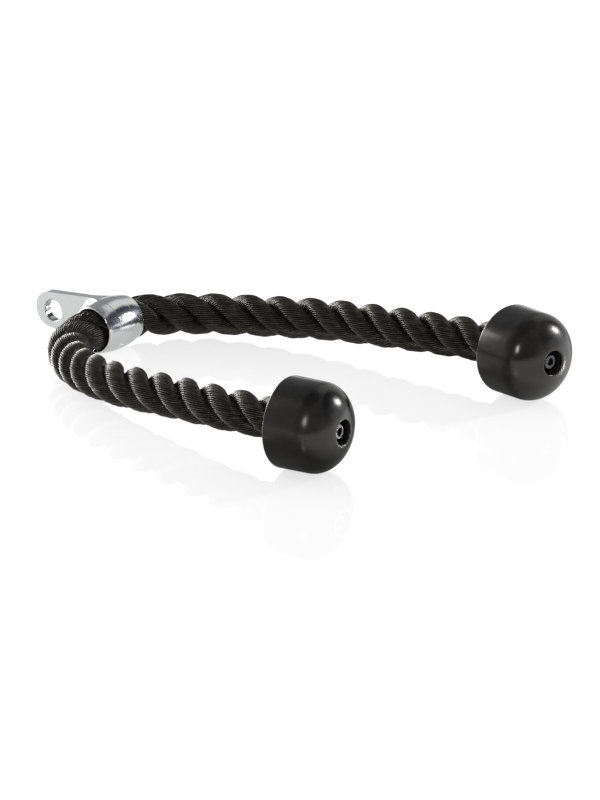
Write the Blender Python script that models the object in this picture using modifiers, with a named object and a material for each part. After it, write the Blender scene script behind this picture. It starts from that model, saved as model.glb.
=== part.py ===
"""Triceps rope attachment for a cable machine.

A three-strand rope runs loosely through the sleeve of a cast metal saddle, whose eye takes the
machine's hook. Each end of the rope is seated in a metal ferrule inside a moulded cap, and a
screw with a washer holds the cap to the ferrule. The rope lies as a U on a floor at z = 0: the
sleeve's axis runs along Y, the eye points along -X and both arms run along +X.
"""

import math

import bmesh
import bpy
import numpy as np
from mathutils import Matrix, Vector

# Rope: three strands laid right-handed; the two size shares are of a strand's radius
STRAND_COUNT = 3
STRAND_RADIUS = 0.00600
STRAND_CIRCLE_SHARE = 1.3167
LAY_LENGTH_SHARE = 11.667
NEAR_LAY_TURN_SHARE = 0.33
FAR_LAY_TURN_SHARE = 0.22
STRAND_BEVEL_RESOLUTION = 2
RINGS_PER_LAY = 12
END_RING_STEP = 0.0005

# Rope's centreline, chosen by hand: near cap, near arm, sleeve, far arm, far cap
ROUTE = [
    (0.1290, -0.0971, 0.0306),
    (0.1127, -0.0991, 0.0301),
    (0.1027, -0.1004, 0.0300),
    (0.0688, -0.1027, 0.0281),
    (0.0228, -0.1011, 0.0244),
    (-0.0262, -0.0983, 0.0197),
    (-0.0567, -0.0929, 0.0172),
    (-0.0836, -0.0838, 0.0160),
    (-0.1011, -0.0729, 0.0160),
    (-0.1134, -0.0603, 0.0164),
    (-0.1191, -0.0455, 0.0175),
    (-0.1191, -0.0313, 0.0180),
    (-0.1187, -0.0137, 0.0181),
    (-0.1172, 0.0037, 0.0180),
    (-0.1130, 0.0162, 0.0176),
    (-0.1041, 0.0287, 0.0170),
    (-0.0874, 0.0455, 0.0165),
    (-0.0661, 0.0582, 0.0173),
    (-0.0362, 0.0705, 0.0192),
    (-0.0018, 0.0820, 0.0218),
    (0.0416, 0.0897, 0.0250),
    (0.0858, 0.0968, 0.0277),
    (0.1291, 0.1006, 0.0299),
    (0.1390, 0.0995, 0.0302),
    (0.1553, 0.0969, 0.0307),
]
ROUTE_SLEEVE_POINT = 12
ROUTE_SAMPLES_PER_SPAN = 24

# Clearances
TOUCH_GAP = 0.00030
SCREW_GAP = 0.00030
CUT_OVERRUN = 0.0020
ROUNDING_START_DEGREES = 110

# Saddle: sleeve, plate and eye. The sleeve's centre stands a little off the rope's
SLEEVE_OFFSET_X = 0.00050
SLEEVE_OFFSET_Z = 0.00030
SLEEVE_SLACK = 0.0012
SLEEVE_LENGTH = 0.0350
MOUTH_WALL = 0.0011
MOUTH_ROUNDING = 0.00050
BARREL_SWELL = 0.0022
BARREL_RINGS = 8
PLATE_THICKNESS = 0.0062
PLATE_ROOT_INSET = 0.00030
PLATE_HUB_INSET = 0.00037
PLATE_FILLET_SHARE = 0.486
PLATE_EDGE_ROUNDING = 0.0014
PLATE_EDGE_SEGMENTS = 3
PLATE_EDGE_LIMIT_DEGREES = 55
NECK_LENGTH = 0.0233
EYE_RADIUS = 0.0075
EYE_ROUNDING = 0.0011
EYE_WALL = 0.0052
TIP_OVERHANG = 0.0030
EYE_DROOP_DEGREES = 0.9

# Rope stretches, as lengths along the rope from the sleeve's centre
CORE_OVERHANG = 0.0060
FLEX_LENGTH = 0.0600

# End cap, measured along its axis from the rear rim
CAP_WALL = 0.0141
CAP_TAPER = 0.00020
CAP_SIDE_LENGTH = 0.0230
CAP_DOME_HEIGHT = 0.0212
CAP_DOME_POWER = 2.12
CAP_DOME_RINGS = 9
CAP_RIM_ROUNDING = 0.0016
CAP_REAR_DISH = 0.0012
CAP_WEB_THICKNESS = 0.0034
RECESS_DEPTH = 0.0116
RECESS_SLACK = 0.00075
RECESS_ROUNDING = 0.00080

# Ferrule on the rope's end
FERRULE_WALL = 0.0016
FERRULE_SETBACK = 0.0025
FERRULE_NOSE = 0.0080

# Socket screw and washer
SCREW_RADIUS = 0.0030
SCREW_LENGTH = 0.0120
SCREW_TIP_CHAMFER = 0.00060
SCREW_HEAD_RADIUS = 0.0050
SCREW_HEAD_HEIGHT = 0.0060
SCREW_HEAD_ROUNDING = 0.00050
HEX_SIDES = 6
HEX_ACROSS_FLATS = 0.0050
HEX_DEPTH = 0.0030
WASHER_OVERHANG = 0.0025
WASHER_THICKNESS = 0.0012

# Facets of the turned pieces
TURN_STEPS = 44
SMALL_TURN_STEPS = 24
ARC_STEPS = 3
FLARE_STEPS = 7
PLATE_TIP_STEPS = 16
MERGE_DISTANCE = 1e-6

# Rope and its stretches
STRAND_CIRCLE_RADIUS = STRAND_RADIUS * STRAND_CIRCLE_SHARE
LAY_LENGTH = STRAND_RADIUS * LAY_LENGTH_SHARE
ROPE_RADIUS = STRAND_CIRCLE_RADIUS + STRAND_RADIUS
CORE_HALF_LENGTH = SLEEVE_LENGTH / 2 + CORE_OVERHANG
ARM_START = CORE_HALF_LENGTH + FLEX_LENGTH

# Saddle, from the rope outwards and from the sleeve to the tip
BORE_RADIUS = ROPE_RADIUS + SLEEVE_SLACK
MOUTH_RADIUS = BORE_RADIUS + MOUTH_WALL
BARREL_RADIUS = MOUTH_RADIUS + BARREL_SWELL
PLATE_FILLET = (SLEEVE_LENGTH - PLATE_THICKNESS) / 2 * PLATE_FILLET_SHARE
EYE_DISTANCE = BARREL_RADIUS + NECK_LENGTH + EYE_RADIUS
TIP_DISTANCE = EYE_DISTANCE + TIP_OVERHANG
TIP_RADIUS = EYE_RADIUS + EYE_WALL

# Cap and what it holds
FERRULE_BORE_RADIUS = ROPE_RADIUS + TOUCH_GAP
FERRULE_RADIUS = FERRULE_BORE_RADIUS + FERRULE_WALL
SOCKET_RADIUS = FERRULE_RADIUS + TOUCH_GAP
CAP_REAR_RADIUS = SOCKET_RADIUS + CAP_WALL
CAP_FRONT_RADIUS = CAP_REAR_RADIUS - CAP_TAPER
RECESS_FLOOR = CAP_SIDE_LENGTH + CAP_DOME_HEIGHT - RECESS_DEPTH
CAP_WEB_START = RECESS_FLOOR - CAP_WEB_THICKNESS
FERRULE_FRONT = CAP_WEB_START - TOUCH_GAP
SHANK_HOLE_RADIUS = SCREW_RADIUS + SCREW_GAP
WASHER_RADIUS = SCREW_HEAD_RADIUS + WASHER_OVERHANG
WASHER_SEAT = RECESS_FLOOR + TOUCH_GAP
SCREW_SEAT = WASHER_SEAT + WASHER_THICKNESS + TOUCH_GAP
RECESS_RADIUS = WASHER_RADIUS + RECESS_SLACK


def clear_scene():
    for obj in list(bpy.data.objects):
        bpy.data.objects.remove(obj, do_unlink=True)


def new_collection(name):
    collection = bpy.data.collections.new(name)
    bpy.context.scene.collection.children.link(collection)
    return collection


def new_material(name, colour, roughness, metallic):
    material = bpy.data.materials.new(name)
    material.use_nodes = True
    shader = material.node_tree.nodes["Principled BSDF"]
    shader.inputs["Base Color"].default_value = (*colour, 1.0)
    shader.inputs["Roughness"].default_value = roughness
    shader.inputs["Metallic"].default_value = metallic
    material.diffuse_color = (*colour, 1.0)
    return material


def new_empty(name, matrix, parent=None):
    """An empty that stands on a joint's axis or along a cap's axis; matrix is in world space."""
    empty = bpy.data.objects.new(name, None)
    empty.empty_display_size = ROPE_RADIUS
    PART.objects.link(empty)
    if parent:
        empty.parent = parent
        empty.matrix_basis = world_of(parent).inverted() @ matrix
    else:
        empty.matrix_basis = matrix
    return empty


def world_of(obj):
    matrix = obj.matrix_basis.copy()
    while obj.parent:
        obj = obj.parent
        matrix = obj.matrix_basis @ matrix
    return matrix


def as_cutter(obj):
    """Moves a helper to the cutters, where it is drawn as wire and never rendered."""
    for collection in list(obj.users_collection):
        collection.objects.unlink(obj)
    CUTTERS.objects.link(obj)
    obj.hide_render = True
    obj.display_type = "WIRE"
    return obj


def arc(centre_r, centre_z, radius, start_degrees, end_degrees, steps=ARC_STEPS):
    """Points of an arc in a profile's plane, both ends included."""
    points = []
    for i in range(steps + 1):
        angle = math.radians(start_degrees + (end_degrees - start_degrees) * i / steps)
        points.append((centre_r + radius * math.cos(angle), centre_z + radius * math.sin(angle)))
    return points


def turned(name, profile, material, parent, ring=False, steps=TURN_STEPS):
    """A body turned about its own Z axis. The profile's (r, z) points run down its outer side.

    A ring's profile is a closed loop; any other starts and ends on the axis.
    """
    mesh = bpy.data.meshes.new(name)
    shape = bmesh.new()
    corners = [shape.verts.new((r, 0, z)) for r, z in profile]
    for first, second in zip(corners, corners[1:]):
        shape.edges.new((first, second))
    if ring:
        shape.edges.new((corners[-1], corners[0]))
    shape.to_mesh(mesh)
    shape.free()
    mesh.materials.append(material)
    obj = bpy.data.objects.new(name, mesh)
    PART.objects.link(obj)
    obj.parent = parent
    turn = obj.modifiers.new("Turn", "SCREW")
    turn.axis = "Z"
    turn.angle = math.tau
    turn.steps = steps
    turn.render_steps = steps
    turn.use_merge_vertices = True
    turn.merge_threshold = MERGE_DISTANCE
    turn.use_smooth_shade = True
    return obj


def boolean(obj, operation, other):
    cut = obj.modifiers.new(f"{operation.title()} {other.name}", "BOOLEAN")
    cut.operation = operation
    cut.solver = "EXACT"
    cut.object = other


def route_curve():
    """Samples of a natural cubic spline through the route's points, and their lengths along it.

    Lengths count from the sleeve's centre, negative towards the near cap.
    """
    points = np.array(ROUTE)
    knots = np.concatenate([[0.0], np.cumsum(np.linalg.norm(np.diff(points, axis=0), axis=1))])
    spans = np.diff(knots)
    count = len(points)
    system = np.zeros((count, count))
    target = np.zeros((count, 3))
    system[0, 0] = 1
    system[-1, -1] = 1
    for i in range(1, count - 1):
        system[i, i - 1] = spans[i - 1]
        system[i, i] = 2 * (spans[i - 1] + spans[i])
        system[i, i + 1] = spans[i]
        slope_after = (points[i + 1] - points[i]) / spans[i]
        slope_before = (points[i] - points[i - 1]) / spans[i - 1]
        target[i] = 6 * (slope_after - slope_before)
    bends = np.linalg.solve(system, target)
    samples = []
    for i in range(count - 1):
        for step in range(ROUTE_SAMPLES_PER_SPAN):
            b = step / ROUTE_SAMPLES_PER_SPAN
            a = 1 - b
            correction = ((a**3 - a) * bends[i] + (b**3 - b) * bends[i + 1]) * spans[i] ** 2 / 6
            samples.append(a * points[i] + b * points[i + 1] + correction)
    samples.append(points[-1])
    samples = np.array(samples)
    lengths = np.concatenate([[0.0], np.cumsum(np.linalg.norm(np.diff(samples, axis=0), axis=1))])
    return samples, lengths - lengths[ROUTE_SLEEVE_POINT * ROUTE_SAMPLES_PER_SPAN]


def carried_frames(samples):
    """Two directions across the rope per sample, carried along the route without twist."""
    tangents = np.gradient(samples, axis=0)
    tangents /= np.linalg.norm(tangents, axis=1)[:, None]
    sides = np.zeros_like(tangents)
    side = np.cross(tangents[0], (0, 0, 1))
    for i, tangent in enumerate(tangents):
        side = side - tangent * (side @ tangent)
        side /= np.linalg.norm(side)
        sides[i] = side
    return sides, np.cross(tangents, sides)


def at_length(values, length):
    """A value of the route, read off at a length along it."""
    return np.array([np.interp(length, LENGTHS, values[:, axis]) for axis in range(3)])


def strand_point(strand, length):
    """A point of a strand's centreline, at a length along the rope.

    The lay is slacker inside the sleeve, where it goes from the near turn share to the far one.
    """
    mouths = (-SLEEVE_LENGTH / 2, SLEEVE_LENGTH / 2)
    start = np.interp(length, mouths, (NEAR_LAY_TURN_SHARE, FAR_LAY_TURN_SHARE))
    angle = math.tau * (start + length / LAY_LENGTH + strand / STRAND_COUNT)
    across = math.cos(angle) * at_length(SIDES, length) + math.sin(angle) * at_length(RISES, length)
    return Vector(at_length(SAMPLES, length) + STRAND_CIRCLE_RADIUS * across)


def ring_lengths(start, end):
    """Where a strand's rings stand: both ends, a short step inside each, and even steps between."""
    count = round((end - start) * RINGS_PER_LAY / LAY_LENGTH)
    inner = [start + (end - start) * i / count for i in range(1, count)]
    return [start, start + END_RING_STEP, *inner, end - END_RING_STEP, end]


def strand_stretch(name, strand, start, end, parent):
    """One stretch of one strand, as a round tube along its helix, with its origin at its parent."""
    curve = bpy.data.curves.new(name, "CURVE")
    curve.dimensions = "3D"
    curve.bevel_depth = STRAND_RADIUS
    curve.bevel_resolution = STRAND_BEVEL_RESOLUTION
    curve.use_fill_caps = True
    curve.materials.append(ROPE)
    lengths = ring_lengths(start + TOUCH_GAP / 2, end - TOUCH_GAP / 2)
    spline = curve.splines.new("POLY")
    spline.points.add(len(lengths) - 1)
    to_parent = world_of(parent).inverted()
    for point, length in zip(spline.points, lengths):
        point.co = (*(to_parent @ strand_point(strand, length)), 1.0)
    spline.use_smooth = True
    obj = bpy.data.objects.new(name, curve)
    PART.objects.link(obj)
    obj.parent = parent
    return obj


def rope_stretch(name, start, end, parent):
    for strand in range(STRAND_COUNT):
        strand_stretch(f"{name}_strand_{strand + 1}", strand, start, end, parent)


def barrel_radius(height):
    """The sleeve's outer radius swells from its mouths to the middle of its length."""
    share = height / (SLEEVE_LENGTH / 2)
    return BARREL_RADIUS - (BARREL_RADIUS - MOUTH_RADIUS) * share**2


def barrel():
    """The sleeve's barrel, still solid, with rounded mouths."""
    half = SLEEVE_LENGTH / 2
    top = half - MOUTH_ROUNDING
    profile = [(0, half), (MOUTH_RADIUS - MOUTH_ROUNDING, half)]
    for i in range(BARREL_RINGS + 1):
        height = top - 2 * top * i / BARREL_RINGS
        profile.append((barrel_radius(height), height))
    profile += [(MOUTH_RADIUS - MOUTH_ROUNDING, -half), (0, -half)]
    return as_cutter(turned("barrel_body", profile, METAL, SADDLE_FRAME))


def teardrop():
    """The plate's outline: the tip's circle and its tangents to a circle just inside the barrel."""
    root = BARREL_RADIUS - PLATE_ROOT_INSET
    taper = math.asin((root - TIP_RADIUS) / TIP_DISTANCE)
    touch_x = -root * math.sin(taper)
    touch_y = root * math.cos(taper)
    turn = math.degrees(taper)
    outline = [(touch_x, -touch_y), (touch_x, touch_y)]
    outline += arc(-TIP_DISTANCE, 0, TIP_RADIUS, 90 + turn, 270 - turn, PLATE_TIP_STEPS)
    curve = bpy.data.curves.new("plate_outline", "CURVE")
    curve.dimensions = "2D"
    curve.fill_mode = "BOTH"
    curve.extrude = SLEEVE_LENGTH / 2
    spline = curve.splines.new("POLY")
    spline.points.add(len(outline) - 1)
    for point, (x, y) in zip(spline.points, outline):
        point.co = (x, y, 0, 1)
    spline.use_cyclic_u = True
    drawn = bpy.data.objects.new("plate_outline", curve)
    PART.objects.link(drawn)
    graph = bpy.context.evaluated_depsgraph_get()
    mesh = bpy.data.meshes.new_from_object(drawn.evaluated_get(graph))
    shape = bmesh.new()
    shape.from_mesh(mesh)
    bmesh.ops.remove_doubles(shape, verts=shape.verts, dist=MERGE_DISTANCE)
    shape.to_mesh(mesh)
    shape.free()
    bpy.data.objects.remove(drawn, do_unlink=True)
    prism = bpy.data.objects.new("plate_outline", mesh)
    PART.objects.link(prism)
    prism.parent = SADDLE_FRAME
    return as_cutter(prism)


def saddle_eye():
    """The casting: a plate that flares into the barrel, cut to a teardrop, then bored twice."""
    half = PLATE_THICKNESS / 2
    hub = barrel_radius(half + PLATE_FILLET) - PLATE_HUB_INSET
    reach = TIP_DISTANCE + TIP_RADIUS + CUT_OVERRUN
    upper = [(0, half + PLATE_FILLET)]
    upper += arc(hub + PLATE_FILLET, half + PLATE_FILLET, PLATE_FILLET, 180, 270, FLARE_STEPS)
    upper.append((reach, half))
    profile = upper + [(r, -z) for r, z in reversed(upper)]
    casting = turned("saddle_eye", profile, METAL, SADDLE_FRAME)
    boolean(casting, "INTERSECT", teardrop())
    rounding = casting.modifiers.new("Plate edge", "BEVEL")
    rounding.width = PLATE_EDGE_ROUNDING
    rounding.segments = PLATE_EDGE_SEGMENTS
    rounding.limit_method = "ANGLE"
    rounding.angle_limit = math.radians(PLATE_EDGE_LIMIT_DEGREES)
    boolean(casting, "UNION", barrel())
    sleeve = bore_cutter("sleeve_bore", BORE_RADIUS, SLEEVE_LENGTH, MOUTH_ROUNDING, TURN_STEPS)
    boolean(casting, "DIFFERENCE", sleeve)
    eye = bore_cutter("eye_bore", EYE_RADIUS, PLATE_THICKNESS, EYE_ROUNDING, SMALL_TURN_STEPS)
    eye.location.x = -EYE_DISTANCE
    boolean(casting, "DIFFERENCE", eye)
    return casting


def bore_cutter(name, radius, depth, rounding, steps):
    """Cuts a bore through a depth centred on zero, and rounds its edge at both faces.

    The rounding starts a little under the face, so that the cutter crosses the face squarely.
    """
    half = depth / 2
    curve = arc(radius + rounding, half - rounding, rounding, ROUNDING_START_DEGREES, 180)
    upper = [(0, half + CUT_OVERRUN), (curve[0][0], half + CUT_OVERRUN)] + curve
    profile = upper + [(r, -z) for r, z in reversed(upper)]
    return as_cutter(turned(name, profile, METAL, SADDLE_FRAME, steps=steps))


def dome(angle):
    """A point of the cap's front, from its straight side at 0 to its axis at a quarter turn."""
    power = 2 / CAP_DOME_POWER
    radius = CAP_FRONT_RADIUS * math.cos(angle) ** power
    return radius, CAP_SIDE_LENGTH + CAP_DOME_HEIGHT * math.sin(angle) ** power


def end_cap(name, parent):
    """The moulded cap: domed front with the screw's recess, straight side, and the rope's socket."""
    lip_share = (RECESS_RADIUS + RECESS_ROUNDING) / CAP_FRONT_RADIUS
    lip_angle = math.acos(lip_share ** (CAP_DOME_POWER / 2))
    rings = range(CAP_DOME_RINGS + 1)
    profile = [dome(lip_angle * (1 - i / CAP_DOME_RINGS)) for i in rings]
    lip, edge = profile[0]
    rim = CAP_REAR_RADIUS - CAP_RIM_ROUNDING
    profile += arc(rim, CAP_RIM_ROUNDING, CAP_RIM_ROUNDING, 0, -90)
    profile += [
        (SOCKET_RADIUS + CAP_RIM_ROUNDING, CAP_REAR_DISH),
        (SOCKET_RADIUS, CAP_REAR_DISH + CAP_RIM_ROUNDING),
        (SOCKET_RADIUS, CAP_WEB_START),
        (SHANK_HOLE_RADIUS, CAP_WEB_START),
        (SHANK_HOLE_RADIUS, RECESS_FLOOR),
        (RECESS_RADIUS, RECESS_FLOOR),
    ]
    profile += arc(lip, edge - RECESS_ROUNDING, RECESS_ROUNDING, 180, 90)[:-1]
    return turned(name, profile, RUBBER, parent, ring=True)


def ferrule(name, parent):
    """The metal cup on the rope's end. Its thick nose is tapped for the cap's screw."""
    nose = FERRULE_FRONT - FERRULE_NOSE
    profile = [
        (FERRULE_RADIUS, FERRULE_FRONT),
        (FERRULE_RADIUS, FERRULE_SETBACK),
        (FERRULE_BORE_RADIUS, FERRULE_SETBACK),
        (FERRULE_BORE_RADIUS, nose),
        (SHANK_HOLE_RADIUS, nose),
        (SHANK_HOLE_RADIUS, FERRULE_FRONT),
    ]
    return turned(name, profile, STEEL, parent, ring=True)


def washer(name, parent):
    top = WASHER_SEAT + WASHER_THICKNESS
    profile = [
        (WASHER_RADIUS, top),
        (WASHER_RADIUS, WASHER_SEAT),
        (SHANK_HOLE_RADIUS, WASHER_SEAT),
        (SHANK_HOLE_RADIUS, top),
    ]
    return turned(name, profile, STEEL, parent, ring=True, steps=SMALL_TURN_STEPS)


def cap_screw(name, parent):
    """The socket screw, its head's underside on the washer."""
    profile = [(0, SCREW_HEAD_HEIGHT), (SCREW_HEAD_RADIUS - SCREW_HEAD_ROUNDING, SCREW_HEAD_HEIGHT)]
    profile += [
        (SCREW_HEAD_RADIUS, SCREW_HEAD_HEIGHT - SCREW_HEAD_ROUNDING),
        (SCREW_HEAD_RADIUS, 0),
        (SCREW_RADIUS, 0),
        (SCREW_RADIUS, SCREW_TIP_CHAMFER - SCREW_LENGTH),
        (SCREW_RADIUS - SCREW_TIP_CHAMFER, -SCREW_LENGTH),
        (0, -SCREW_LENGTH),
    ]
    screw = turned(name, profile, STEEL, parent, steps=SMALL_TURN_STEPS)
    screw.location.z = SCREW_SEAT
    mesh = bpy.data.meshes.new(f"{name}_hex")
    shape = bmesh.new()
    corner = HEX_ACROSS_FLATS / 2 / math.cos(math.pi / HEX_SIDES)
    depth = HEX_DEPTH + CUT_OVERRUN
    bmesh.ops.create_cone(
        shape, cap_ends=True, segments=HEX_SIDES, radius1=corner, radius2=corner, depth=depth
    )
    shape.to_mesh(mesh)
    shape.free()
    cutter = bpy.data.objects.new(f"{name}_hex", mesh)
    PART.objects.link(cutter)
    cutter.parent = parent
    cutter.location.z = SCREW_SEAT + SCREW_HEAD_HEIGHT - HEX_DEPTH + depth / 2
    boolean(screw, "DIFFERENCE", as_cutter(cutter))
    return screw


def capped_end(side, rear, rope_end, arm):
    """A cap and what it holds, on an empty whose Z axis runs from the rear rim to the front."""
    along = (Vector(rope_end) - Vector(rear)).normalized()
    across = Vector((0, 0, 1)).cross(along).normalized()
    turn = Matrix((across, along.cross(across), along)).transposed().to_4x4()
    axis = new_empty(f"{side}_cap_axis", Matrix.Translation(rear) @ turn, arm)
    end_cap(f"{side}_end_cap", axis)
    ferrule(f"{side}_rope_ferrule", axis)
    washer(f"{side}_cap_washer", axis)
    cap_screw(f"{side}_cap_screw", axis)


clear_scene()
PART = new_collection("triceps_rope_attachment")
CUTTERS = new_collection("cutters")
CUTTERS.hide_render = True

METAL = new_material("polished_casting", (0.78, 0.78, 0.80), 0.16, 1.0)
ROPE = new_material("black_nylon_rope", (0.025, 0.022, 0.020), 0.62, 0.0)
RUBBER = new_material("black_moulded_cap", (0.018, 0.017, 0.017), 0.34, 0.0)
STEEL = new_material("dark_steel", (0.20, 0.20, 0.21), 0.35, 1.0)

SAMPLES, LENGTHS = route_curve()
SIDES, RISES = carried_frames(SAMPLES)

# The casting's own Z axis is the sleeve's axis, laid along the world's Y
SLEEVE_OFFSET = Vector((SLEEVE_OFFSET_X, 0, SLEEVE_OFFSET_Z))
SLEEVE_CENTRE = Vector(ROUTE[ROUTE_SLEEVE_POINT]) + SLEEVE_OFFSET
EYE_DROOP = Matrix.Rotation(-math.radians(EYE_DROOP_DEGREES), 4, "Y")
SADDLE_TURN = EYE_DROOP @ Matrix.Rotation(-math.pi / 2, 4, "X")
SADDLE_FRAME = new_empty("saddle_frame", Matrix.Translation(SLEEVE_CENTRE) @ SADDLE_TURN)
saddle_eye()

# The rope turns in the sleeve, and each arm swings about the middle of its flexible stretch
ROPE_SWIVEL = new_empty("rope_swivel", Matrix.Translation(SLEEVE_CENTRE))
NEAR_HINGE_POINT = at_length(SAMPLES, -CORE_HALF_LENGTH - FLEX_LENGTH / 2)
FAR_HINGE_POINT = at_length(SAMPLES, CORE_HALF_LENGTH + FLEX_LENGTH / 2)
NEAR_HINGE = new_empty("near_arm_hinge", Matrix.Translation(NEAR_HINGE_POINT), ROPE_SWIVEL)
FAR_HINGE = new_empty("far_arm_hinge", Matrix.Translation(FAR_HINGE_POINT), ROPE_SWIVEL)

rope_stretch("core", -CORE_HALF_LENGTH, CORE_HALF_LENGTH, ROPE_SWIVEL)
rope_stretch("near_flex", -ARM_START, -CORE_HALF_LENGTH, ROPE_SWIVEL)
rope_stretch("far_flex", CORE_HALF_LENGTH, ARM_START, ROPE_SWIVEL)
rope_stretch("near_arm", LENGTHS[0], -ARM_START, NEAR_HINGE)
rope_stretch("far_arm", ARM_START, LENGTHS[-1], FAR_HINGE)

# The rope enters each cap at the route's last point but one
capped_end("near", ROUTE[1], ROUTE[0], NEAR_HINGE)
capped_end("far", ROUTE[-2], ROUTE[-1], FAR_HINGE)
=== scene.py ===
import math

import bpy
import numpy as np
from mathutils import Matrix, Vector


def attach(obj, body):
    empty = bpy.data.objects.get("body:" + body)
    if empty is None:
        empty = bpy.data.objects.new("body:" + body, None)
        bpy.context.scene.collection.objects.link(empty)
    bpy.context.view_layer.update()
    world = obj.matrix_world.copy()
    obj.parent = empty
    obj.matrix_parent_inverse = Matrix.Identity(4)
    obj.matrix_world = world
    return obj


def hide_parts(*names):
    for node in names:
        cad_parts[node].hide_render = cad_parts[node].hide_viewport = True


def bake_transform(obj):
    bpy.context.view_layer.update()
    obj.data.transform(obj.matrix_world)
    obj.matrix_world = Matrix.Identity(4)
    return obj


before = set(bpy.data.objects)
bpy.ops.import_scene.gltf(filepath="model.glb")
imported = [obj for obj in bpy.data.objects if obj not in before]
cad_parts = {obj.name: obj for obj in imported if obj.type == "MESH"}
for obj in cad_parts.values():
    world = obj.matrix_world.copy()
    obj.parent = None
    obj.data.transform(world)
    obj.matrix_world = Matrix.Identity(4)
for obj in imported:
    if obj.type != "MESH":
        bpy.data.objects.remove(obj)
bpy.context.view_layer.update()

# Centreline of the rope, in metres: near cap, near arm, sleeve, far arm, far cap
ROUTE = [
    (0.1290, -0.0971, 0.0306),
    (0.1127, -0.0991, 0.0301),
    (0.1027, -0.1004, 0.0300),
    (0.0688, -0.1027, 0.0281),
    (0.0228, -0.1011, 0.0244),
    (-0.0262, -0.0983, 0.0197),
    (-0.0567, -0.0929, 0.0172),
    (-0.0836, -0.0838, 0.0160),
    (-0.1011, -0.0729, 0.0160),
    (-0.1134, -0.0603, 0.0164),
    (-0.1191, -0.0455, 0.0175),
    (-0.1191, -0.0313, 0.0180),
    (-0.1187, -0.0137, 0.0181),
    (-0.1172, 0.0037, 0.0180),
    (-0.1130, 0.0162, 0.0176),
    (-0.1041, 0.0287, 0.0170),
    (-0.0874, 0.0455, 0.0165),
    (-0.0661, 0.0582, 0.0173),
    (-0.0362, 0.0705, 0.0192),
    (-0.0018, 0.0820, 0.0218),
    (0.0416, 0.0897, 0.0250),
    (0.0858, 0.0968, 0.0277),
    (0.1291, 0.1006, 0.0299),
    (0.1390, 0.0995, 0.0302),
    (0.1553, 0.0969, 0.0307),
]
SLEEVE_POINT = 12
SAMPLES_PER_SPAN = 24

# Lay of the strands, by length from the sleeve's centre, less than zero on the near arm
STRANDS = 3
LAY_LENGTH = 0.0700
NEAR_TURN_SHARE = 0.33
FAR_TURN_SHARE = 0.22
TIGHT_START = -0.122
TIGHT_END = -0.050
CAP_SLACK_START = -0.210
CAP_SLACK_TURN = 0.095

# Cross-section of the laid rope
ROPE_RADIUS = 0.0142
SOCKET_ROPE_RADIUS = 0.0138
SOCKET_TAPER = 0.004
SOCKET_DEPTH = 0.0155
LOBE_DROP = 0.0052
LOBE_POWER = 2.3
CREASE_DROP = 0.0026
CREASE_POWER = 9
SQUEEZE = 2.4
SQUEEZE_LIMIT = 0.75
BULGE = 0.0004
BEND_REACH = 0.018
MOUTH_SQUEEZE = 0.65
MOUTH_REACH = 0.007

# Yarns: how high each stands varies by its number and along the rope, in two waves
YARNS_AROUND = 60
STEPS_ACROSS_YARN = 4
STEP_ALONG_ROPE = 0.00088
YARN_HEIGHT = 0.0006
YARN_OFFSETS = np.array([0.0, 0.5, 0.25])
YARN_UNEVENNESS = 0.35
SLOW_WAVE = (5.3, 90)
FAST_WAVE = (2.1, 260)
MAP_UNITS_PER_METRE = 1000

# Where each arm bends beside the sleeve, by length from the sleeve's centre
FLEX_START = 0.0235
FLEX_END = 0.0835

# Sleeve, plate and eye
SLEEVE_CENTRE = (-0.1182, -0.0137, 0.0184)
SLEEVE_LENGTH = 0.0350
BARREL_RADIUS = 0.0184
MOUTH_RADIUS = 0.0162
MOUTH_ROUNDING = 0.0006
BORE_RADIUS = 0.0151
BORE_ROUNDING = 0.0005
PLATE_THICKNESS = 0.0062
PLATE_FILLET = 0.0070
PLATE_EDGE_ROUNDING = 0.0014
FILLET_SINK = 0.00037
ROOT_SINK = 0.0003
EYE_DISTANCE = 0.0492
EYE_RADIUS = 0.0075
EYE_ROUNDING = 0.0011
# Painted shade inside the eye starts this far inside the bore's radius
EYE_SHADE_DEPTH = 0.0001
TIP_DISTANCE = 0.0522
TIP_RADIUS = 0.0127
EYE_DROOP = math.radians(0.9)
EYE_CENTRE = (
    SLEEVE_CENTRE[0] - EYE_DISTANCE * math.cos(EYE_DROOP),
    SLEEVE_CENTRE[2] - EYE_DISTANCE * math.sin(EYE_DROOP),
)
CUTTER_HALF_DEPTH = 0.016
CUT_OVERRUN = 0.002

# End cap and what it holds, along the cap's axis from its rear rim
CAP_REAR_RADIUS = 0.0302
CAP_FRONT_RADIUS = 0.0300
CAP_SIDE = 0.0230
CAP_DOME = 0.0212
CAP_POWER = 2.12
CAP_RIM = 0.0016
CAP_DISH = 0.0012
CAP_WEB = 0.0292
RECESS_FLOOR = 0.0326
RECESS_RADIUS = 0.00825
RECESS_LIP = 0.0008
SOCKET_RADIUS = 0.0161
FERRULE_RADIUS = 0.0158
FERRULE_BORE = 0.0142
FERRULE_MOUTH = 0.0025
FERRULE_NOSE = 0.0209
FERRULE_FRONT = 0.0289
FERRULE_EDGE = 0.0008
HOLE_RADIUS = 0.0033
WASHER_SEAT = 0.0329
WASHER_RADIUS = 0.0075
WASHER_THICKNESS = 0.0012
WASHER_EDGE = 0.0003
SCREW_SEAT = 0.0344
HEAD_RADIUS = 0.0050
HEAD_HEIGHT = 0.0060
HEAD_ROUNDING = 0.0007
SEAT_EDGE = 0.0002
SHANK_RADIUS = 0.0030
SHANK_LENGTH = 0.0120
SHANK_EDGE = 0.0006
HEX_ACROSS_FLATS = 0.0050
HEX_DEPTH = 0.0030
BROKEN_EDGE = 0.00015

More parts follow.
